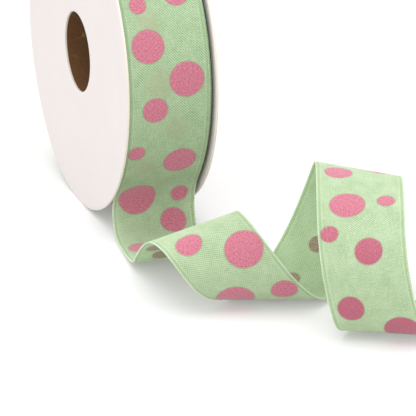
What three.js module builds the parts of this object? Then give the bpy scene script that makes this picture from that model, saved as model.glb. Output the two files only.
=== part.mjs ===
// A reel of dotted ribbon that stands on its rim, with a loose end that springs away in curls.
// Two board flanges are fixed on a cardboard core tube, and the ribbon is wound between them.
// Millimetres, +Z up. The reel's axis lies along X, and the loose end runs towards -Y and +X.

import * as THREE from "three";

// Driving sizes
const RIBBON_WIDTH = 39.5;
const RIBBON_SHEET = 1;
const FLANGE_RADIUS = 75;
const FLANGE_BOARD = 1.1;
const BORE_RADIUS = 19.1;
const CORE_WALL = 2.2;
const WOUND_RADIUS = 73.4;
const REEL_WIDTH = 44.3;
const RIBBON_FROM_NEAR_FACE = 1.4;
const FOOT_DEPTH = 0.15;
const CLEARANCE = 0.3;

// Where the loose end leaves the roll, in degrees below the front of the reel,
// and how far the outer turn is followed back up the roll from there.
const LEAVES_AT = 41.6;
const OUTER_TURN_ARC = 40;

// The loose end, a row for each fold in turn. `length` is how much ribbon the fold takes, `turn` is
// how far it bends in degrees, plus when the dotted face is outside, and `lean` is how far its
// crease leans from straight across in degrees, plus when the right end of the crease is further on.
const FOLDS = [
  { fold: "off the roll", length: 18, turn: -60, lean: -6 },
  { fold: "down to the surface", length: 14, turn: -81, lean: -1 },
  { fold: "flat on the surface", length: 25, turn: 0, lean: -1 },
  { fold: "start of the rise", length: 23, turn: -52, lean: 1 },
  { fold: "up to the low curl", length: 30, turn: 30, lean: 48 },
  { fold: "over the low curl", length: 24, turn: 74, lean: 10 },
  { fold: "down its front", length: 20, turn: 49, lean: 24 },
  { fold: "round its bottom", length: 35, turn: 86, lean: 41 },
  { fold: "back and up", length: 27, turn: 35, lean: 19 },
  { fold: "up to the tall curl", length: 47, turn: 80, lean: 17 },
  { fold: "over the tall curl", length: 24, turn: 58, lean: 15 },
  { fold: "across its top", length: 43, turn: 31, lean: 22 },
  { fold: "down its front", length: 31, turn: 55, lean: 14 },
  { fold: "lower front", length: 21, turn: 29, lean: 4 },
  { fold: "round its bottom", length: 24, turn: 109, lean: 16 },
  { fold: "back under it to the cut end", length: 12, turn: 0, lean: 15 },
];

// Each fold is blended into its neighbours over this length of ribbon.
const FOLD_SOFTNESS = 14;
const RIBBON_STEP = 2.5;
const FLANGE_STEPS = 48;
const RING_STEPS = 72;
const SECTION_CORNERS = 4;

const REEL_AXIS_HEIGHT = FLANGE_RADIUS - FOOT_DEPTH;
const CORE_RADIUS = BORE_RADIUS + CORE_WALL;

function material(color, roughness) {
  return new THREE.MeshStandardMaterial({ color, roughness, metalness: 0 });
}

const boardWhite = material(0xf1eceb, 0.8);
const kraftBrown = material(0x8a6238, 0.9);
const mintGreen = material(0xb6d3a4, 0.85);

// Turns a shape drawn in the YZ plane and pulled along its own Z into one pulled along +X.
function standOnEdge(geometry, fromX) {
  const turned = new THREE.Matrix4().makeBasis(
    new THREE.Vector3(0, 1, 0),
    new THREE.Vector3(0, 0, 1),
    new THREE.Vector3(1, 0, 0),
  );
  return geometry.applyMatrix4(turned).translate(fromX, 0, 0);
}

function mesh(name, geometry, look) {
  const made = new THREE.Mesh(geometry, look);
  made.name = name;
  return made;
}

// A round board with the bore through it and a small flat foot at its lowest point.
function flange(name, fromX) {
  const halfFoot = Math.acos(REEL_AXIS_HEIGHT / FLANGE_RADIUS);
  const down = -Math.PI / 2;
  const outline = new THREE.Shape();
  outline.absarc(0, 0, FLANGE_RADIUS, down + halfFoot, down + 2 * Math.PI - halfFoot);
  outline.closePath();
  const bore = new THREE.Path();
  bore.absarc(0, 0, BORE_RADIUS, 0, 2 * Math.PI);
  outline.holes.push(bore);
  const geometry = new THREE.ExtrudeGeometry(outline, {
    depth: FLANGE_BOARD,
    bevelEnabled: false,
    curveSegments: FLANGE_STEPS,
  });
  return mesh(name, standOnEdge(geometry, fromX), boardWhite);
}

// A plain ring about the reel's axis.
function ring(name, innerRadius, outerRadius, fromX, toX, look) {
  const profile = [
    new THREE.Vector2(innerRadius, fromX),
    new THREE.Vector2(outerRadius, fromX),
    new THREE.Vector2(outerRadius, toX),
    new THREE.Vector2(innerRadius, toX),
    new THREE.Vector2(innerRadius, fromX),
  ];
  const geometry = new THREE.LatheGeometry(profile, RING_STEPS);
  geometry.rotateZ(-Math.PI / 2);
  return mesh(name, geometry, look);
}

// Where each fold starts and ends along the ribbon, and how far it has turned by then.
const starts = [0];
const turned = [0];
for (const fold of FOLDS) {
  starts.push(starts.at(-1) + fold.length);
  turned.push(turned.at(-1) + fold.turn);
}
const middles = FOLDS.map((fold, row) => starts[row] + fold.length / 2);
const slopes = FOLDS.map((fold) => Math.tan(THREE.MathUtils.degToRad(fold.lean)));

// Reads a value at a place, on straight lines between the given places and values.
function between(places, values, place) {
  if (place <= places[0]) {
    return values[0];
  }
  for (let row = 1; row < places.length; row += 1) {
    if (place <= places[row]) {
      const share = (place - places[row - 1]) / (places[row] - places[row - 1]);
      return THREE.MathUtils.lerp(values[row - 1], values[row], share);
    }
  }
  return values.at(-1);
}

// How far the ribbon turns over one step about a place, in radians.
function turnOfStep(place) {
  const before = between(starts, turned, place - FOLD_SOFTNESS / 2);
  const after = between(starts, turned, place + FOLD_SOFTNESS / 2);
  return THREE.MathUtils.degToRad(((after - before) / FOLD_SOFTNESS) * RIBBON_STEP);
}

// Follows the ribbon from the roll. It is a flat strip that only bends, so each crease is a
// straight line across it, and each step turns the rest of the strip about the next crease.
// Each section holds the two ends of its crease and the direction that the dotted face looks in.
function ribbonSections() {
  const sections = [];
  const half = RIBBON_WIDTH / 2;
  const across = new THREE.Vector3(1, 0, 0);
  const leaves = THREE.MathUtils.degToRad(LEAVES_AT);
  const centre = new THREE.Vector3();
  const along = new THREE.Vector3();
  const face = new THREE.Vector3();

  function addSection(slope) {
    const crease = across.clone().addScaledVector(along, slope);
    sections.push({
      left: centre.clone().addScaledVector(crease, -half),
      right: centre.clone().addScaledVector(crease, half),
      face: face.clone(),
    });
  }

  function standOnRoll(angle) {
    face.set(0, -Math.cos(angle), -Math.sin(angle));
    along.set(0, Math.sin(angle), -Math.cos(angle));
    centre.copy(face).multiplyScalar(WOUND_RADIUS);
    centre.x = RIBBON_FROM_NEAR_FACE + half;
  }

  const arcStep = RIBBON_STEP / WOUND_RADIUS;
  const arcSteps = Math.round(THREE.MathUtils.degToRad(OUTER_TURN_ARC) / arcStep);
  for (let step = arcSteps; step > 0; step -= 1) {
    standOnRoll(leaves - step * arcStep);
    addSection(0);
  }

  standOnRoll(leaves);
  const steps = Math.round(starts.at(-1) / RIBBON_STEP);
  for (let step = 0; step <= steps; step += 1) {
    const place = step * RIBBON_STEP;
    addSection(between(middles, slopes, place));
    const middle = place + RIBBON_STEP / 2;
    const hinge = across.clone().addScaledVector(along, between(middles, slopes, middle));
    const turn = turnOfStep(middle);
    hinge.normalize();
    centre.addScaledVector(along, RIBBON_STEP / 2);
    for (const direction of [across, along, face]) {
      direction.applyAxisAngle(hinge, turn);
    }
    centre.addScaledVector(along, RIBBON_STEP / 2);
  }
  return sections;
}

// The loose end as a closed sheet: the dotted face, the back, the two edges and the two ends.
function looseEnd(name) {
  const corners = [];
  for (const section of ribbonSections()) {
    const backLeft = section.left.clone().addScaledVector(section.face, -RIBBON_SHEET);
    const backRight = section.right.clone().addScaledVector(section.face, -RIBBON_SHEET);
    corners.push(section.left, section.right, backRight, backLeft);
  }
  const faces = [];
  const last = corners.length - SECTION_CORNERS;
  for (let start = 0; start < last; start += SECTION_CORNERS) {
    for (let side = 0; side < SECTION_CORNERS; side += 1) {
      const a = start + side;
      const b = start + ((side + 1) % SECTION_CORNERS);
      faces.push(a, a + SECTION_CORNERS, b);
      faces.push(b, a + SECTION_CORNERS, b + SECTION_CORNERS);
    }
  }
  faces.push(0, 1, 2, 0, 2, 3);
  faces.push(last, last + 2, last + 1, last, last + 3, last + 2);
  const geometry = new THREE.BufferGeometry();
  geometry.setFromPoints(corners);
  geometry.setIndex(faces);
  geometry.computeVertexNormals();
  return mesh(name, geometry, mintGreen);
}

const reel = new THREE.Group();
const innerX = FLANGE_BOARD + CLEARANCE;
const outerX = REEL_WIDTH - FLANGE_BOARD - CLEARANCE;
const ribbonEndX = RIBBON_FROM_NEAR_FACE + RIBBON_WIDTH;
const woundUnderSheet = WOUND_RADIUS - RIBBON_SHEET - CLEARANCE;
reel.add(
  flange("flange_near", 0),
  flange("flange_far", REEL_WIDTH - FLANGE_BOARD),
  ring("core_tube", BORE_RADIUS, CORE_RADIUS, innerX, outerX, kraftBrown),
  ring(
    "ribbon_winding",
    CORE_RADIUS + CLEARANCE,
    woundUnderSheet,
    RIBBON_FROM_NEAR_FACE,
    ribbonEndX,
    mintGreen,
  ),
  looseEnd("ribbon_loose_end"),
);

// The origin is under the middle of the whole, on the surface that it stands on.
const bounds = new THREE.Box3().setFromObject(reel);
const middle = bounds.getCenter(new THREE.Vector3());
reel.position.set(-middle.x, -middle.y, REEL_AXIS_HEIGHT);
reel.updateMatrixWorld(true);

const group = new THREE.Group();
group.add(reel);

export default group;
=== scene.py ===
# A roll of dotted ribbon on a board reel that stands on its rim, with its loose end in curls.
# Everything is in metres, and the ribbon's own pattern is charted in millimetres.

import math

import bmesh
import bpy
from mathutils import Matrix, Quaternion, Vector, noise


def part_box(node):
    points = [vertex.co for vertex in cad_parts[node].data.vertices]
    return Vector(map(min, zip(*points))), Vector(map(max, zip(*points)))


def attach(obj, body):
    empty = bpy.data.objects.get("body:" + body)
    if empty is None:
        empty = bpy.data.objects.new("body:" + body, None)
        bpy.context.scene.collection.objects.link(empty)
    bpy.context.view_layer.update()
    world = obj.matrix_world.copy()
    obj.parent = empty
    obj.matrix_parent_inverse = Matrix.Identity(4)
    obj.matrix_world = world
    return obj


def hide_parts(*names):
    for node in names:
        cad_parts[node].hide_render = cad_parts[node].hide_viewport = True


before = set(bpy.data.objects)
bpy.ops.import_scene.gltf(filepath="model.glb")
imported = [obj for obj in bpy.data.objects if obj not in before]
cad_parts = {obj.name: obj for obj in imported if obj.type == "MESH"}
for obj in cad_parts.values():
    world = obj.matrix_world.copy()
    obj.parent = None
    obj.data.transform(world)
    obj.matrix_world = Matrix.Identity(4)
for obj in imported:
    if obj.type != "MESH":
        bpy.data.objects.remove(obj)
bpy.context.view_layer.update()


# Core tube
# A length of spiral-wound kraft cardboard tube, which carries the whole reel on its spindle.
# It is a turned ring, and the edge of its last paper ply runs round it as a low step.

near_low, near_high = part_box("flange_near")
far_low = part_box("flange_far")[0]
tube_low, tube_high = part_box("core_tube")
AXLE_Y = (tube_low.y + tube_high.y) / 2
AXLE_Z = (tube_low.z + tube_high.z) / 2
TUBE_RADIUS = (tube_high.z - tube_low.z) / 2
BORE_RADIUS = 0.0191
TUBE_ROUNDS = 160
TUBE_BANDS = 36

# The last ply: its thickness, how far it climbs along the tube in a turn, and the shares of a
# turn over which its two edges rise and fall.
PLY_STEP = 0.00012
PLY_PITCH = 0.046
PLY_RISE = 0.02
PLY_FALL = 0.35

# Fibres stand up from the paper by this much, and are this fine along the tube and round it.
FIBRE_HEIGHT = 0.00003
FIBRES_ALONG = 700
FIBRES_ROUND = 12


def colour(red, green, blue):
    """An sRGB colour, each part 0 to 255, as the linear colour that a shader takes."""
    shares = [value / 255 for value in (red, green, blue)]
    linear = [s / 12.92 if s <= 0.04045 else ((s + 0.055) / 1.055) ** 2.4 for s in shares]
    return (*linear, 1.0)


def new_material(name, roughness):
    """A material with its node tree and its shader."""
    material = bpy.data.materials.new(name)
    material.use_nodes = True
    tree = material.node_tree
    shader = tree.nodes["Principled BSDF"]
    shader.inputs["Roughness"].default_value = roughness
    shader.inputs["Specular IOR Level"].default_value = 0.25
    return material, tree, shader


def add(tree, kind, inputs=None, **settings):
    """A node with its settings. An input is a value, or the socket that feeds it."""
    node = tree.nodes.new(kind)
    for name, value in settings.items():
        setattr(node, name, value)
    for name, value in (inputs or {}).items():
        if isinstance(value, bpy.types.NodeSocket):
            tree.links.new(value, node.inputs[name])
        else:
            node.inputs[name].default_value = value
    return node


def sums(tree, operation, *values, clamp=False):
    """One step of arithmetic on sockets or plain numbers."""
    numbered = dict(enumerate(values))
    return add(tree, "ShaderNodeMath", numbered, operation=operation, use_clamp=clamp).outputs[0]


def fade(tree, value, start, end):
    """0 before a start, 1 past an end, and even between them."""
    steepness = 1 / (end - start)
    return sums(tree, "MULTIPLY_ADD", value, steepness, -start * steepness, clamp=True)


def speckled(tree, place, scale, detail, roughness):
    """Noise over a place, about 0 to 1."""
    settings = {"Vector": place, "Scale": scale, "Detail": detail, "Roughness": roughness}
    return add(tree, "ShaderNodeTexNoise", settings).outputs["Fac"]


def mixed(tree, share, first, second, blend="MIX"):
    """Two colours mixed by a share."""
    node = tree.nodes.new("ShaderNodeMix")
    node.data_type = "RGBA"
    node.blend_type = blend
    for name, value in (("Factor_Float", share), ("A_Color", first), ("B_Color", second)):
        socket = next(s for s in node.inputs if s.identifier == name)
        if isinstance(value, bpy.types.NodeSocket):
            tree.links.new(value, socket)
        else:
            socket.default_value = value
    return next(s for s in node.outputs if s.identifier == "Result_Color")


def bumped(tree, shader, height, distance):
    """Raises a surface by a height that the nodes work out."""
    bump = add(tree, "ShaderNodeBump", {"Height": height, "Distance": distance, "Strength": 1.0})
    tree.links.new(bump.outputs["Normal"], shader.inputs["Normal"])


def turned_ring(name, profile, rounds, wear):
    """A closed ring about the reel's axle, from a closed profile of (x, radius)."""
    made = bmesh.new()
    loops = []
    for step in range(rounds):
        angle = 2 * math.pi * step / rounds
        loop = []
        for point in profile:
            x, radius = wear(*point, angle)
            y = AXLE_Y + radius * math.cos(angle)
            z = max(AXLE_Z + radius * math.sin(angle), 0.0)
            loop.append(made.verts.new((x, y, z)))
        loops.append(loop)
    for step, loop in enumerate(loops):
        following = loops[(step + 1) % rounds]
        for corner in range(len(profile)):
            after = (corner + 1) % len(profile)
            made.faces.new((loop[corner], loop[after], following[after], following[corner]))
    bmesh.ops.recalc_face_normals(made, faces=made.faces)
    mesh = bpy.data.meshes.new(name)
    made.to_mesh(mesh)
    made.free()
    mesh.shade_smooth()
    mesh.set_sharp_from_angle(angle=math.radians(40))
    piece = bpy.data.objects.new(name, mesh)
    bpy.context.scene.collection.objects.link(piece)
    return piece


def ply_edge(x, radius, angle):
    """Lifts the inner wall by one ply, on the part of the helix that the last ply covers."""
    if radius >= TUBE_RADIUS:
        return x, radius
    turns = (x - near_low.x) / PLY_PITCH + angle / (2 * math.pi)
    share = turns % 1.0
    covered = min(1.0, share / PLY_RISE) * min(1.0, (1.0 - share) / PLY_FALL)
    place = Vector((x * FIBRES_ALONG, math.cos(angle) * FIBRES_ROUND, math.sin(angle) * FIBRES_ROUND))
    return x, radius - PLY_STEP * covered + FIBRE_HEIGHT * noise.noise(place)


tube_from = near_high.x
tube_to = far_low.x
tube_xs = [tube_from + (tube_to - tube_from) * band / TUBE_BANDS for band in range(TUBE_BANDS + 1)]
tube_profile = [(x, BORE_RADIUS + PLY_STEP) for x in tube_xs]
tube_profile += [(tube_to, TUBE_RADIUS), (tube_from, TUBE_RADIUS)]
core = turned_ring("cardboard_core", tube_profile, TUBE_ROUNDS, ply_edge)

kraft, tree, shader = new_material("kraft_cardboard", 0.88)
place = add(tree, "ShaderNodeTexCoord").outputs["Object"]
fibres = speckled(tree, place, 900.0, 6.0, 0.65)
flecks = speckled(tree, place, 260.0, 3.0, 0.7)
brown = mixed(tree, fibres, colour(70, 45, 22), colour(108, 75, 45))
brown = mixed(tree, fade(tree, flecks, 0.62, 0.82), brown, colour(146, 110, 74))
brown = mixed(tree, fade(tree, flecks, 0.36, 0.193), brown, colour(56, 34, 16))
tree.links.new(brown, shader.inputs["Base Color"])
bumped(tree, shader, fibres, 0.00012)
core.data.materials.append(kraft)
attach(core, "root")
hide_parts("core_tube")


# Flanges
# Two discs of grey board faced with white paper, die-cut with a bore and glued to the tube's ends.
# The cut leaves the paper's rim a little rounded, and the raw board shows cream along the edges.

RIM_RADIUS = 0.075
BOARD_ROUNDS = 288
FACE_RINGS = (0.0215, 0.03, 0.042, 0.055, 0.066, 0.0735)

# The cut: how round its corners are, how uneven it is, how fine that is round the board and across
# its thickness, and how far from the two cut edges it reaches.
CUT_ROUNDING = 0.00022
CUT_UNEVENNESS = 0.00007
UNEVEN_ROUND = 40
UNEVEN_ACROSS = 2500
CUT_REACH = 0.001

# A face is papered where its normal points along the axle by more than this.
PAPERED_FROM = 0.35


def cut_edge(x, radius, angle):
    """The die leaves the rim and the bore slightly uneven."""
    if BORE_RADIUS + CUT_REACH < radius < RIM_RADIUS - CUT_REACH:
        return x, radius
    place = Vector((math.cos(angle) * UNEVEN_ROUND, math.sin(angle) * UNEVEN_ROUND, x * UNEVEN_ACROSS))
    return x, radius + CUT_UNEVENNESS * noise.noise(place)


def rounded_edge(near_x, far_x, radius, inward):
    """A cut edge from the near face to the far one, with both corners rounded inward."""
    corner = []
    for share in (1.0, 0.5, 0.0):
        turn = share * math.pi / 2
        drop = CUT_ROUNDING * (1 - math.sin(turn))
        corner.append((drop, radius + inward * CUT_ROUNDING * (1 - math.cos(turn))))
    near = [(near_x + drop, at) for drop, at in corner]
    far = [(far_x - drop, at) for drop, at in reversed(corner)]
    return near + [((near_x + far_x) / 2, radius)] + far


paper, tree, shader = new_material("white_paper_face", 0.62)
place = add(tree, "ShaderNodeTexCoord").outputs["Object"]
pulp = speckled(tree, place, 1400.0, 4.0, 0.6)
cloud = speckled(tree, place, 45.0, 3.0, 0.5)
white = mixed(tree, pulp, colour(207, 200, 198), colour(215, 209, 207))
white = mixed(tree, sums(tree, "MULTIPLY", cloud, 0.25), white, colour(190, 184, 181))
tree.links.new(white, shader.inputs["Base Color"])
bumped(tree, shader, pulp, 0.00002)

raw_board, tree, shader = new_material("raw_board_edge", 0.92)
place = add(tree, "ShaderNodeTexCoord").outputs["Object"]
stretched = add(tree, "ShaderNodeMapping", {"Vector": place, "Scale": (9.0, 1.0, 1.0)})
layers = speckled(tree, stretched.outputs["Vector"], 420.0, 4.0, 0.7)
cream = mixed(tree, layers, colour(204, 194, 177), colour(226, 217, 203))
cream = mixed(tree, fade(tree, layers, 0.66, 0.785), cream, colour(196, 166, 138))
tree.links.new(cream, shader.inputs["Base Color"])
bumped(tree, shader, layers, 0.00015)


def board(name, node):
    """One flange in the place of its node: paper on both faces, raw board round both edges."""
    low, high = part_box(node)
    bore = rounded_edge(low.x, high.x, BORE_RADIUS, 1)
    rim = rounded_edge(low.x, high.x, RIM_RADIUS, -1)
    far_face = [(high.x, radius) for radius in FACE_RINGS]
    near_face = [(low.x, radius) for radius in reversed(FACE_RINGS)]
    piece = turned_ring(name, bore + far_face + rim[::-1] + near_face, BOARD_ROUNDS, cut_edge)
    piece.data.materials.append(paper)
    piece.data.materials.append(raw_board)
    for face in piece.data.polygons:
        face.material_index = 0 if abs(face.normal.x) > PAPERED_FROM else 1
    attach(piece, "root")
    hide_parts(node)


board("near_board", "flange_near")
board("far_board", "flange_far")


# Wound ribbon
# Green ribbon, woven with a fine diagonal, printed with pink dots on one face, and wound on the
# tube turn over turn. It is one spiral strip, whose inner turns stray into the slack beside it.

RIBBON_WIDTH = 0.0395
RIBBON_THICKNESS = 0.00045
WOUND_RADIUS = 0.0734
TURNS = 98
TURN_PITCH = 0.00052
POINTS_A_TURN = 96
FACE_INSET = 0.00025
FROM_NEAR_FACE = 0.0014
RIBBON_MIDDLE = near_low.x + FROM_NEAR_FACE + RIBBON_WIDTH / 2

# The loose end leaves the roll this many degrees below its front. The last millimetres of the
# outer turn belong to the loose end's own piece, so the winding stops short of them.
LEAVES_AT = 41.6
ON_ROLL = 50.0
OUTER_TURN_STOPS = LEAVES_AT - math.degrees(ON_ROLL / (WOUND_RADIUS * 1000))

# The printed dots, in millimetres. `along` is how far past the place where the ribbon leaves the
# roll, `across` is how far right of its middle, and `wide` is the dot's width.
DOTS = [
    {"along": -126.5, "across": 13, "wide": 8},
    {"along": -120.5, "across": -5, "wide": 17},
    {"along": -102.5, "across": 8, "wide": 12},
    {"along": -98.5, "across": -11, "wide": 8},
    {"along": -79, "across": -9, "wide": 15.5},
    {"along": -62, "across": 8.5, "wide": 16.5},
    {"along": -48.5, "across": -7, "wide": 12},
    {"along": -25.5, "across": -14.5, "wide": 8},
    {"along": -17.5, "across": 7.5, "wide": 15.5},
    {"along": 9, "across": -8.5, "wide": 17.5},
    {"along": 8.5, "across": 12, "wide": 8},
    {"along": 22, "across": 9, "wide": 12},
    {"along": 42.5, "across": -10.5, "wide": 12},
    {"along": 51, "across": 8, "wide": 15.5},
    {"along": 75, "across": -8, "wide": 8},
    {"along": 84, "across": -12.5, "wide": 8},
    {"along": 79, "across": 10, "wide": 12},
    {"along": 101, "across": 4, "wide": 15.5},
    {"along": 126.5, "across": -8.5, "wide": 12},
    {"along": 144, "across": 10, "wide": 17.5},
    {"along": 164, "across": -9, "wide": 17.5},
    {"along": 172.5, "across": 12, "wide": 12},
    {"along": 190.5, "across": -4.5, "wide": 15},
    {"along": 203, "across": -4, "wide": 8},
    {"along": 214, "across": 14, "wide": 12},
    {"along": 225, "across": -3, "wide": 8},
    {"along": 233, "across": 12, "wide": 8},
    {"along": 246, "across": 4, "wide": 15.5},
    {"along": 262, "across": 0, "wide": 8},
    {"along": 282, "across": 9.5, "wide": 12},
    {"along": 291.5, "across": -9.5, "wide": 12.5},
    {"along": 317.5, "across": 11.5, "wide": 8},
    {"along": 319.5, "across": -6, "wide": 16},
    {"along": 336, "across": -14.5, "wide": 8},
    {"along": 346.5, "across": 2.5, "wide": 12.5},
    {"along": 372, "across": -10, "wide": 12},
    {"along": 388, "across": 10, "wide": 17},
    {"along": 404, "across": -9, "wide": 12},
    {"along": 414, "across": 12, "wide": 8},
]

# Where dots of the turn below show through the outer turn as faint tan patches.
SHOWING_UNDER = [
    {"along": -90, "across": -7, "wide": 12},
    {"along": -61, "across": -4, "wide": 17},
    {"along": -38, "across": 4, "wide": 13},
    {"along": -15, "across": -9, "wide": 12},
]

# Behind the top of the roll the chart repeats over this stretch of ribbon.
CHART_FROM = -138.5
CHART_TO = -30.5

# The weave's pitch in millimetres, how strongly it shows on the roll and where the ribbon hangs
# loose, and the tint of cloth that lies on the roll.
WEAVE_PITCH = 0.92
CONTRAST_ON_ROLL = 1.35
CONTRAST_LOOSE = 0.75
ROLL_TINT = (0.93, 0.99, 0.93, 1.0)

# The selvedge, by how far each line is from the ribbon's edge in millimetres: small beads of the
# turning weft, a groove darkened with painted shade, and a pale cord.
BEADS_AT = 0.2
BEADS_PITCH = 1.35
SHADED_LINE_AT = 1.2
CORD_LINE_AT = 2.1


def ribbon_place(tree):
    """Where a point is on the flat ribbon, in millimetres: along it, and across it."""
    uv = add(tree, "ShaderNodeUVMap", uv_map="ribbon").outputs["UV"]
    parts = add(tree, "ShaderNodeSeparateXYZ", {"Vector": uv})
    return parts.outputs["X"], parts.outputs["Y"]


def stripes(tree, along, across, slope, pitch):
    """Straight ridges across the ribbon, 0 to 1, at a slope and a pitch in millimetres."""
    spread = math.hypot(1.0, slope)
    sloped = sums(tree, "MULTIPLY_ADD", across, slope, along)
    phase = sums(tree, "MULTIPLY", sloped, 2 * math.pi / (pitch * spread))
    return sums(tree, "MULTIPLY_ADD", sums(tree, "SINE", phase), 0.5, 0.5)


def farthest_inside(tree, point, dots):
    """How far a point is inside the nearest of some dots, in millimetres, negative outside."""
    inside = None
    for dot in dots:
        away = add(
            tree,
            "ShaderNodeVectorMath",
            {0: point, 1: (dot["along"], dot["across"], 0.0)},
            operation="DISTANCE",
        ).outputs["Value"]
        depth = sums(tree, "SUBTRACT", dot["wide"] / 2, away)
        inside = depth if inside is None else sums(tree, "MAXIMUM", inside, depth)
    return inside


def streaks(tree, point, fineness, detail):
    """Noise over the flat cloth, with a fineness along it and one across it."""
    stretched = add(tree, "ShaderNodeMapping", {"Vector": point, "Scale": (*fineness, 1.0)})
    return speckled(tree, stretched.outputs["Vector"], 1.0, detail, 0.5)


def swayed(tree, base, share, strength):
    """A value that a share moves: down where the share is under a half, up where it is over."""
    return sums(tree, "MULTIPLY_ADD", sums(tree, "SUBTRACT", share, 0.5), strength, base)


def band(tree, value, middle, reach):
    """1 where a value is at the middle, falling to 0 at a reach on both sides."""
    off = sums(tree, "ABSOLUTE", sums(tree, "SUBTRACT", value, middle))
    return sums(tree, "SUBTRACT", 1.0, sums(tree, "DIVIDE", off, reach), clamp=True)


def repeated(tree, along):
    """The place along the chart that a place along the ribbon shows."""
    wrapped = sums(tree, "WRAP", along, CHART_TO, CHART_FROM)
    behind = sums(tree, "LESS_THAN", along, CHART_FROM)
    offset = sums(tree, "MULTIPLY", sums(tree, "SUBTRACT", wrapped, along), behind)
    return sums(tree, "ADD", along, offset)


def ribbon_cloth(name, green, print_colours, show_through):
    """One face of the cloth: its weave, its selvedges, and how strongly the print shows."""
    material, tree, shader = new_material(name, 0.8)
    shader.inputs["Sheen Roughness"].default_value = 0.5
    shader.inputs["Subsurface Radius"].default_value = (1.0, 1.0, 1.0)
    shader.inputs["Subsurface Scale"].default_value = 0.0018
    along, across = ribbon_place(tree)
    point = add(tree, "ShaderNodeCombineXYZ", {"X": along, "Y": across}).outputs["Vector"]
    off_roll = fade(tree, along, -4.3, 10.0)

    # Two sets of diagonal ridges, with thick and thin yarns both ways, slubs and paler patches.
    twill = stripes(tree, along, across, -1.0, WEAVE_PITCH)
    cross = stripes(tree, along, across, 1.0, WEAVE_PITCH)
    weave = sums(tree, "MULTIPLY_ADD", cross, 0.4, sums(tree, "MULTIPLY", twill, 0.6))
    warp = streaks(tree, point, (0.22, 2.4), 2.0)
    weft = streaks(tree, point, (2.4, 0.22), 2.0)
    slubs = streaks(tree, point, (1.3, 1.3), 4.0)
    patches = streaks(tree, point, (0.09, 0.14), 3.0)
    thread = swayed(tree, weave, warp, 0.75)
    thread = swayed(tree, thread, weft, 0.75)
    thread = swayed(tree, thread, slubs, 0.75)
    loss = CONTRAST_LOOSE - CONTRAST_ON_ROLL
    contrast = sums(tree, "MULTIPLY_ADD", off_roll, loss, CONTRAST_ON_ROLL)
    thread = swayed(tree, 0.5, thread, contrast)
    thread = swayed(tree, thread, patches, 0.7)
    cloth = mixed(tree, thread, green["shade"], green["light"])
    cloth = mixed(tree, sums(tree, "MULTIPLY", patches, 0.3), cloth, green["ground"])

    # The tan patches, mottled, and the deeper green of cloth that lies on more cloth.
    under = fade(tree, farthest_inside(tree, point, SHOWING_UNDER), -1.4, 3.2)
    mottle = fade(tree, slubs, 0.375, 0.625)
    under = sums(tree, "MULTIPLY", sums(tree, "MULTIPLY", under, mottle), 0.8)
    cloth = mixed(tree, under, cloth, green["over_print"])
    on_roll = sums(tree, "SUBTRACT", 1.0, off_roll)
    cloth = mixed(tree, on_roll, cloth, ROLL_TINT, "MULTIPLY")

    # The selvedge. Its beads of turning weft are painted lighter, as a highlight, only where the edge
    # stands free of the roll.
    from_edge = sums(tree, "SUBTRACT", RIBBON_WIDTH * 500, sums(tree, "ABSOLUTE", across))
    beads = sums(tree, "SINE", sums(tree, "MULTIPLY", along, 2 * math.pi / BEADS_PITCH))
    beads = sums(tree, "MULTIPLY", sums(tree, "MULTIPLY_ADD", beads, 0.35, 0.55), off_roll)
    rim = sums(tree, "MULTIPLY", band(tree, from_edge, BEADS_AT, 0.9), beads)
    cord = band(tree, from_edge, CORD_LINE_AT, 0.45)
    groove_and_its_shade = band(tree, from_edge, SHADED_LINE_AT, 0.9)
    # A painted highlight on the beads along the free edge.
    cloth = mixed(tree, rim, cloth, green["light"])
    cloth = mixed(tree, sums(tree, "MULTIPLY", cord, 0.4), cloth, green["light"])
    # Painted shade in the selvedge's groove.
    cloth = mixed(tree, sums(tree, "MULTIPLY", groove_and_its_shade, 0.45), cloth, green["shade"])

    # The printed dots: a slightly ragged outline with a dark rim of painted shadow, and a grainy pile
    # of colour, which painted shade darkens from the top of the tall curl onwards.
    charted = repeated(tree, along)
    chart_point = add(tree, "ShaderNodeCombineXYZ", {"X": charted, "Y": across}).outputs["Vector"]
    inside = farthest_inside(tree, chart_point, DOTS)
    inside = swayed(tree, inside, slubs, 0.35)
    printed = fade(tree, inside, -0.125, 0.125)
    # A dark ring of painted shadow round each dot's raised edge.
    print_edge_shadow = sums(tree, "MULTIPLY", band(tree, inside, -0.15, 0.45), 0.45 * show_through)
    grain = streaks(tree, point, (1.25, 1.25), 3.0)
    pile = swayed(tree, 0.5, grain, 2.5)
    pile = swayed(tree, pile, weave, 0.3)
    # Painted shade: the print turns darker along the ribbon from here to its end.
    painted_shade_on_print = fade(tree, along, 320.0, 353.3)
    pile = sums(tree, "MULTIPLY_ADD", painted_shade_on_print, -0.55, pile)
    ink = mixed(tree, pile, print_colours["shade"], print_colours["light"])
    cloth = mixed(tree, print_edge_shadow, cloth, print_colours["edge"])
    covered = sums(tree, "MULTIPLY", printed, show_through)
    tree.links.new(mixed(tree, covered, cloth, ink), shader.inputs["Base Color"])

    # Light comes through the loose cloth, and less through the print, which has a soft nap.
    lit_through = sums(tree, "MULTIPLY", off_roll, sums(tree, "MULTIPLY_ADD", printed, -0.72, 0.9))
    tree.links.new(lit_through, shader.inputs["Subsurface Weight"])
    nap = sums(tree, "MULTIPLY_ADD", printed, 0.2, 0.03)
    tree.links.new(nap, shader.inputs["Sheen Weight"])
    raised = sums(tree, "MULTIPLY_ADD", groove_and_its_shade, -0.5, thread)
    raised = sums(tree, "MULTIPLY_ADD", cord, 0.6, raised)
    fuzz = sums(tree, "MULTIPLY_ADD", pile, 0.9, 0.8)
    height = sums(tree, "MULTIPLY_ADD", sums(tree, "SUBTRACT", fuzz, raised), covered, raised)
    bumped(tree, shader, height, 0.00009)
    return material


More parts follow.
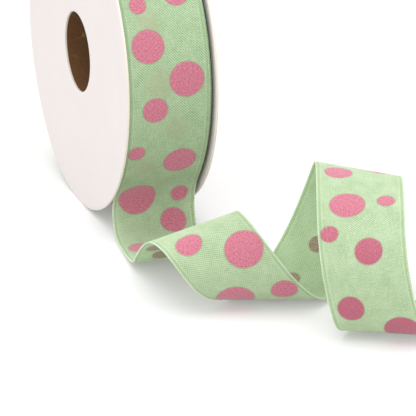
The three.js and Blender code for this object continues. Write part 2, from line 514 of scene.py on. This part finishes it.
face_cloth = ribbon_cloth(
    "ribbon_face",
    {
        "ground": colour(149, 166, 132),
        "shade": colour(122, 147, 107),
        "light": colour(179, 193, 166),
        "over_print": colour(158, 153, 128),
    },
    {
        "light": colour(195, 121, 137),
        "shade": colour(158, 84, 101),
        # The edge colour is painted shadow round the raised print.
        "edge": colour(120, 98, 84),
    },
    1.0,
)
back_cloth = ribbon_cloth(
    "ribbon_back",
    {
        "ground": colour(148, 168, 133),
        "shade": colour(124, 151, 108),
        "light": colour(176, 194, 161),
        "over_print": colour(158, 153, 128),
    },
    {
        "light": colour(156, 134, 114),
        "shade": colour(104, 84, 68),
        # The edge colour is painted shadow round the raised print.
        "edge": colour(140, 128, 104),
    },
    0.85,
)


def nodes_tree(name, inputs):
    """An empty geometry tree with named inputs, and its two ends."""
    tree = bpy.data.node_groups.new(name, "GeometryNodeTree")
    tree.interface.new_socket("Geometry", in_out="INPUT", socket_type="NodeSocketGeometry")
    for label, kind, value in inputs:
        socket = tree.interface.new_socket(label, in_out="INPUT", socket_type=kind)
        if value is not None:
            socket.default_value = value
    tree.interface.new_socket("Geometry", in_out="OUTPUT", socket_type="NodeSocketGeometry")
    start = tree.nodes.new("NodeGroupInput")
    end = tree.nodes.new("NodeGroupOutput")
    return tree, start.outputs, end.inputs


tree, given, result = nodes_tree(
    "ribbon_turns",
    [
        ("Turns", "NodeSocketFloat", float(TURNS)),
        ("Points a turn", "NodeSocketInt", POINTS_A_TURN),
        ("Inner radius", "NodeSocketFloat", None),
        ("Outer radius", "NodeSocketFloat", None),
        ("Ribbon width", "NodeSocketFloat", RIBBON_WIDTH),
        ("Ribbon thickness", "NodeSocketFloat", RIBBON_THICKNESS),
        ("Slack to the far flange", "NodeSocketFloat", 0.0019),
        ("Straying seed", "NodeSocketFloat", 7.0),
        ("Pattern at the end", "NodeSocketFloat", -ON_ROLL),
        ("Cloth", "NodeSocketMaterial", face_cloth),
    ],
)
spiral = add(
    tree,
    "GeometryNodeCurveSpiral",
    {
        "Resolution": given["Points a turn"],
        "Rotations": given["Turns"],
        "Start Radius": given["Inner radius"],
        "End Radius": given["Outer radius"],
        "Height": 0.0,
        "Reverse": True,
    },
).outputs["Curve"]
upright = add(
    tree,
    "GeometryNodeSetCurveNormal",
    {"Curve": spiral},
    mode="Z_UP",
).outputs["Curve"]

# Each point's place along the flat ribbon, in millimetres, with 0 where the loose end leaves.
travelled = add(tree, "GeometryNodeSplineParameter").outputs
whole = add(tree, "GeometryNodeCurveLength", {"Curve": spiral}).outputs["Length"]
left_to_go = sums(tree, "SUBTRACT", travelled["Length"], whole)
pattern = sums(tree, "MULTIPLY_ADD", left_to_go, 1000.0, given["Pattern at the end"])
captured = add(tree, "GeometryNodeCaptureAttribute", {"Geometry": upright}, domain="POINT")
captured.capture_items.new("FLOAT", "Pattern")
tree.links.new(pattern, captured.inputs["Pattern"])

# The outer turns lie against the near flange, and the turns under them stray from it.
turn_number = sums(tree, "MULTIPLY", travelled["Factor"], given["Turns"])
turns_above = sums(tree, "SUBTRACT", given["Turns"], turn_number)
straying = add(
    tree,
    "ShaderNodeTexNoise",
    {"W": sums(tree, "ADD", turn_number, given["Straying seed"]), "Scale": 0.9},
    noise_dimensions="1D",
).outputs["Fac"]
aside = fade(tree, straying, 0.175, 0.675)
aside = sums(tree, "MULTIPLY", aside, fade(tree, turns_above, 2.17, 5.5))
aside = sums(tree, "MULTIPLY", aside, given["Slack to the far flange"])
strayed = add(
    tree,
    "GeometryNodeSetPosition",
    {
        "Geometry": captured.outputs["Geometry"],
        "Offset": add(tree, "ShaderNodeCombineXYZ", {"Z": aside}).outputs["Vector"],
    },
).outputs["Geometry"]

section = add(
    tree,
    "GeometryNodeCurvePrimitiveQuadrilateral",
    {"Width": given["Ribbon thickness"], "Height": given["Ribbon width"]},
).outputs["Curve"]
strip = add(
    tree,
    "GeometryNodeCurveToMesh",
    {"Curve": strayed, "Profile Curve": section, "Fill Caps": True},
).outputs["Mesh"]
position = add(tree, "GeometryNodeInputPosition").outputs["Position"]
across_it = add(tree, "ShaderNodeSeparateXYZ", {"Vector": position}).outputs["Z"]
flat_place = add(
    tree,
    "ShaderNodeCombineXYZ",
    {"X": captured.outputs["Pattern"], "Y": sums(tree, "MULTIPLY", across_it, 1000.0)},
).outputs["Vector"]
charted = add(
    tree,
    "GeometryNodeStoreNamedAttribute",
    {"Geometry": strip, "Name": "ribbon", "Value": flat_place},
    data_type="FLOAT2",
    domain="CORNER",
).outputs["Geometry"]
joined = add(tree, "GeometryNodeRealizeInstances", {"Geometry": charted}).outputs["Geometry"]
finished = add(
    tree,
    "GeometryNodeSetMaterial",
    {"Geometry": joined, "Material": given["Cloth"]},
).outputs["Geometry"]
tree.links.new(finished, result["Geometry"])

wound = bpy.data.objects.new("wound_ribbon", bpy.data.meshes.new("wound_ribbon"))
bpy.context.scene.collection.objects.link(wound)
turns = wound.modifiers.new("turns", "NODES")
turns.node_group = tree
outer_middle = WOUND_RADIUS - FACE_INSET - RIBBON_THICKNESS / 2
set_sizes = {"Inner radius": outer_middle - TURNS * TURN_PITCH, "Outer radius": outer_middle}
for item in tree.interface.items_tree:
    if item.in_out == "INPUT" and item.name in set_sizes:
        turns[item.identifier] = set_sizes[item.name]
solid = wound.evaluated_get(bpy.context.evaluated_depsgraph_get())
mesh = bpy.data.meshes.new_from_object(solid)
wound.modifiers.clear()
wound.data = mesh

# The spiral lies flat when it is made. Its own X turns to +Y, its Y to +Z and its Z to +X.
on_edge = Matrix(((0, 0, 1), (1, 0, 0), (0, 1, 0))).to_4x4()
spin = Matrix.Rotation(math.pi + math.radians(OUTER_TURN_STOPS), 4, "X")
seat = Matrix.Translation((RIBBON_MIDDLE, AXLE_Y, AXLE_Z))
mesh.transform(seat @ spin @ on_edge)
mesh.shade_smooth()
mesh.set_sharp_from_angle(angle=math.radians(40))
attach(wound, "root")
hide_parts("ribbon_winding")


# Loose end
# The last of the same ribbon: it peels off the roll, lies on the surface, and springs up into a low
# and a tall curl. A woven strip can't stretch, so it only bends, each fold about a straight crease.

# A row for each fold: how much ribbon it takes, how far it bends in degrees, plus when the dotted
# face is outside, and how far its crease leans from straight across.
FOLDS = [
    {"fold": "off the roll", "length": 18, "turn": -60, "lean": -6},
    {"fold": "down to the surface", "length": 14, "turn": -81, "lean": -1},
    {"fold": "flat on the surface", "length": 25, "turn": 0, "lean": -1},
    {"fold": "start of the rise", "length": 23, "turn": -52, "lean": 1},
    {"fold": "up to the low curl", "length": 30, "turn": 30, "lean": 48},
    {"fold": "over the low curl", "length": 24, "turn": 74, "lean": 10},
    {"fold": "down its front", "length": 20, "turn": 49, "lean": 24},
    {"fold": "round its bottom", "length": 35, "turn": 86, "lean": 41},
    {"fold": "back and up", "length": 27, "turn": 35, "lean": 19},
    {"fold": "up to the tall curl", "length": 47, "turn": 80, "lean": 17},
    {"fold": "over the tall curl", "length": 24, "turn": 58, "lean": 15},
    {"fold": "across its top", "length": 43, "turn": 31, "lean": 22},
    {"fold": "down its front", "length": 31, "turn": 55, "lean": 14},
    {"fold": "lower front", "length": 21, "turn": 29, "lean": 4},
    {"fold": "round its bottom", "length": 24, "turn": 109, "lean": 16},
    {"fold": "back under it to the cut end", "length": 12, "turn": 0, "lean": 15},
]

# Each fold is blended into its neighbours over this length of ribbon.
FOLD_SOFTNESS = 14.0
RIBBON_STEP = 1.25

# The cloth's own shape, in millimetres: a low ridge and a groove beside it along both selvedges,
# by how far they are from the edge, how wide and how high they are, and the waver of the edges.
SELVEDGE = 1.9
RIDGE = {"at": 1.2, "wide": 0.45, "high": 0.07}
GROOVE = {"at": 1.95, "wide": 0.3, "high": -0.05}
WAVER = 0.22
WAVER_GROWS_OVER = 15
EDGE_STATIONS = (0.0, 0.35, 0.8, 1.25, 1.6, SELVEDGE)
MIDDLE_STATIONS = 28

FACE_SIDE = 0
BACK_SIDE = 1

starts = [0.0]
bent = [0.0]
for fold in FOLDS:
    starts.append(starts[-1] + fold["length"])
    bent.append(bent[-1] + fold["turn"])
middles = [starts[row] + fold["length"] / 2 for row, fold in enumerate(FOLDS)]
slopes = [math.tan(math.radians(fold["lean"])) for fold in FOLDS]


def between(places, values, place):
    """Reads a value at a place, on straight lines between the given places and values."""
    if place <= places[0]:
        return values[0]
    for row in range(1, len(places)):
        if place <= places[row]:
            share = (place - places[row - 1]) / (places[row] - places[row - 1])
            return values[row - 1] + (values[row] - values[row - 1]) * share
    return values[-1]


def on_the_roll(back):
    """The ribbon's middle, its way along and its outer face, some millimetres before it leaves."""
    angle = math.radians(LEAVES_AT) - back / (WOUND_RADIUS * 1000)
    face = Vector((0, -math.cos(angle), -math.sin(angle)))
    along = Vector((0, math.sin(angle), -math.cos(angle)))
    middle = Vector((FROM_NEAR_FACE * 1000 + RIBBON_WIDTH * 500, 0, 0))
    return middle + face * WOUND_RADIUS * 1000, along, face


def creases():
    """The strip's creases in turn. Each has its place along the ribbon, its middle, its way across
    for a millimetre of the ribbon's width, the way that the dotted face looks, and its slope."""
    across = Vector((1, 0, 0))
    made = []
    for step in range(round(ON_ROLL / RIBBON_STEP), 0, -1):
        back = step * RIBBON_STEP
        middle, along, face = on_the_roll(back)
        made.append((-back, middle, across.copy(), face, 0.0))
    middle, along, face = on_the_roll(0)
    for step in range(round(starts[-1] / RIBBON_STEP) + 1):
        place = step * RIBBON_STEP
        slope = between(middles, slopes, place)
        made.append((place, middle.copy(), across + along * slope, face.copy(), slope))
        halfway = place + RIBBON_STEP / 2
        hinge = (across + along * between(middles, slopes, halfway)).normalized()
        before = between(starts, bent, halfway - FOLD_SOFTNESS / 2)
        after = between(starts, bent, halfway + FOLD_SOFTNESS / 2)
        swing = Quaternion(hinge, math.radians((after - before) / FOLD_SOFTNESS * RIBBON_STEP))
        middle = middle + along * RIBBON_STEP / 2
        across, along, face = swing @ across, swing @ along, swing @ face
        middle = middle + along * RIBBON_STEP / 2
    return made


half = RIBBON_WIDTH * 500
spacing = 2 * (half - SELVEDGE) / (MIDDLE_STATIONS + 1)
stations = [half - SELVEDGE - spacing * count for count in range(1, MIDDLE_STATIONS + 1)]
for from_edge in EDGE_STATIONS:
    stations += [from_edge - half, half - from_edge]
stations.sort()


def hump(from_edge, line):
    """The height of a rounded line along the selvedge."""
    return line["high"] * math.exp(-(((from_edge - line["at"]) / line["wide"]) ** 2))


def waver(along, across):
    """How far the whole cloth stands off its plain bent form, most at its edges."""
    grown = min(1.0, max(0.0, along / WAVER_GROWS_OVER))
    drift = noise.noise(Vector((along * 0.11, across * 0.05, 3.0)))
    return WAVER * grown * drift * (abs(across) / half) ** 3


def loose_end(name):
    """The strip as a closed sheet: its face, its back, its two selvedges and its two ends."""
    origin = Vector((near_low.x, AXLE_Y, AXLE_Z))
    inset = FACE_INSET * 1000
    points = []
    places = []
    for place, middle, crease, face, slope in creases():
        front = []
        back = []
        for across in stations:
            from_edge = half - abs(across)
            ridge = hump(from_edge, RIDGE) + hump(from_edge, GROOVE)
            off = waver(place, across) - inset
            at = middle + crease * across
            front.append(at + face * (off + ridge))
            back.append(at + face * (off - RIBBON_THICKNESS * 1000))
        points += front + back[::-1]
        flat = [(place + across * slope, across) for across in stations]
        places += flat + flat[::-1]

    count = len(stations)
    ring = 2 * count
    last = len(points) - ring
    faces = []
    sides = []
    for start in range(0, last, ring):
        for side in range(ring):
            a, b = start + side, start + (side + 1) % ring
            faces.append((a, a + ring, b + ring, b))
            sides.append(BACK_SIDE if count <= side < ring - 1 else FACE_SIDE)
    for side in range(count - 1):
        a, b = side, side + 1
        c, d = ring - 2 - side, ring - 1 - side
        faces.append((a, b, c, d))
        faces.append((last + d, last + c, last + b, last + a))
        sides += [FACE_SIDE, FACE_SIDE]

    mesh = bpy.data.meshes.new(name)
    mesh.from_pydata([origin + point / 1000 for point in points], [], faces)
    mesh.validate()
    chart = mesh.uv_layers.new(name="ribbon")
    for loop in mesh.loops:
        chart.data[loop.index].uv = places[loop.vertex_index]
    mesh.materials.append(face_cloth)
    mesh.materials.append(back_cloth)
    for polygon, side in zip(mesh.polygons, sides):
        polygon.material_index = side
    made = bmesh.new()
    made.from_mesh(mesh)
    bmesh.ops.recalc_face_normals(made, faces=made.faces)
    made.to_mesh(mesh)
    made.free()
    mesh.shade_smooth()
    mesh.set_sharp_from_angle(angle=math.radians(50))
    piece = bpy.data.objects.new(name, mesh)
    bpy.context.scene.collection.objects.link(piece)
    return piece


loose = loose_end("loose_ribbon_end")
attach(loose, "root")
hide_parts("ribbon_loose_end")


# Table, light and camera
# A white table under a bright, even sky of light, with one large soft lamp overhead and one in
# front on the left, and a long lens that looks a little down on the roll from its front.

TABLE_REACH = 3.0
LAMPS_LOOK_AT = Vector((0.0, -0.05, 0.0))

table = bpy.data.objects.new("table_top", bpy.data.meshes.new("table_top"))
bpy.context.scene.collection.objects.link(table)
table.data.from_pydata(
    [
        (-TABLE_REACH, -TABLE_REACH, 0),
        (TABLE_REACH, -TABLE_REACH, 0),
        (TABLE_REACH, TABLE_REACH, 0),
        (-TABLE_REACH, TABLE_REACH, 0),
    ],
    [],
    [(0, 1, 2, 3)],
)
pale, tree, shader = new_material("pale_table", 0.9)
shader.inputs["Base Color"].default_value = (0.57, 0.57, 0.57, 1.0)
shader.inputs["Emission Color"].default_value = (1.0, 0.99, 0.98, 1.0)
shader.inputs["Emission Strength"].default_value = 0.23
table.data.materials.append(pale)

world = bpy.data.worlds.new("studio")
world.use_nodes = True
world.node_tree.nodes["Background"].inputs["Color"].default_value = (1.0, 1.0, 1.0, 1.0)
world.node_tree.nodes["Background"].inputs["Strength"].default_value = 1.3
bpy.context.scene.world = world


def softbox(name, place, size, watts):
    """A square lamp of soft light that looks at the roll."""
    data = bpy.data.lights.new(name, "AREA")
    data.shape = "SQUARE"
    data.size = size
    data.energy = watts
    lamp = bpy.data.objects.new(name, data)
    bpy.context.scene.collection.objects.link(lamp)
    lamp.location = place
    lamp.rotation_euler = (LAMPS_LOOK_AT - lamp.location).to_track_quat("-Z", "Y").to_euler()


softbox("overhead_softbox", (-0.22, 0.0, 1.5), 1.3, 11.0)
softbox("front_fill", (-1.4, -2.3, 1.2), 1.6, 17.0)

# The camera aims at a point beside the reel's axle, on its near flange, and a little below it.
CAMERA_AZIMUTH = math.radians(19.0)
CAMERA_ELEVATION = math.radians(22.0)
CAMERA_DISTANCE = 3.0
AIM_RIGHT = 0.0613
AIM_DOWN = 0.0733
right = Vector((math.cos(CAMERA_AZIMUTH), -math.sin(CAMERA_AZIMUTH), 0))
look = Vector(
    (
        math.sin(CAMERA_AZIMUTH) * math.cos(CAMERA_ELEVATION),
        math.cos(CAMERA_AZIMUTH) * math.cos(CAMERA_ELEVATION),
        -math.sin(CAMERA_ELEVATION),
    )
)
up = right.cross(look)
aim = Vector((near_low.x, AXLE_Y, AXLE_Z)) + right * AIM_RIGHT - up * AIM_DOWN
camera_data = bpy.data.cameras.new("camera")
camera_data.sensor_width = 36.0
camera_data.lens = 553.6
camera_data.clip_start = 0.1
camera_data.clip_end = 20.0
camera = bpy.data.objects.new("camera", camera_data)
bpy.context.scene.collection.objects.link(camera)
turned = Matrix((right, up, -look)).transposed().to_4x4()
camera.matrix_world = Matrix.Translation(aim - look * CAMERA_DISTANCE) @ turned
bpy.context.scene.camera = camera
bpy.context.scene.view_settings.view_transform = "Standard"
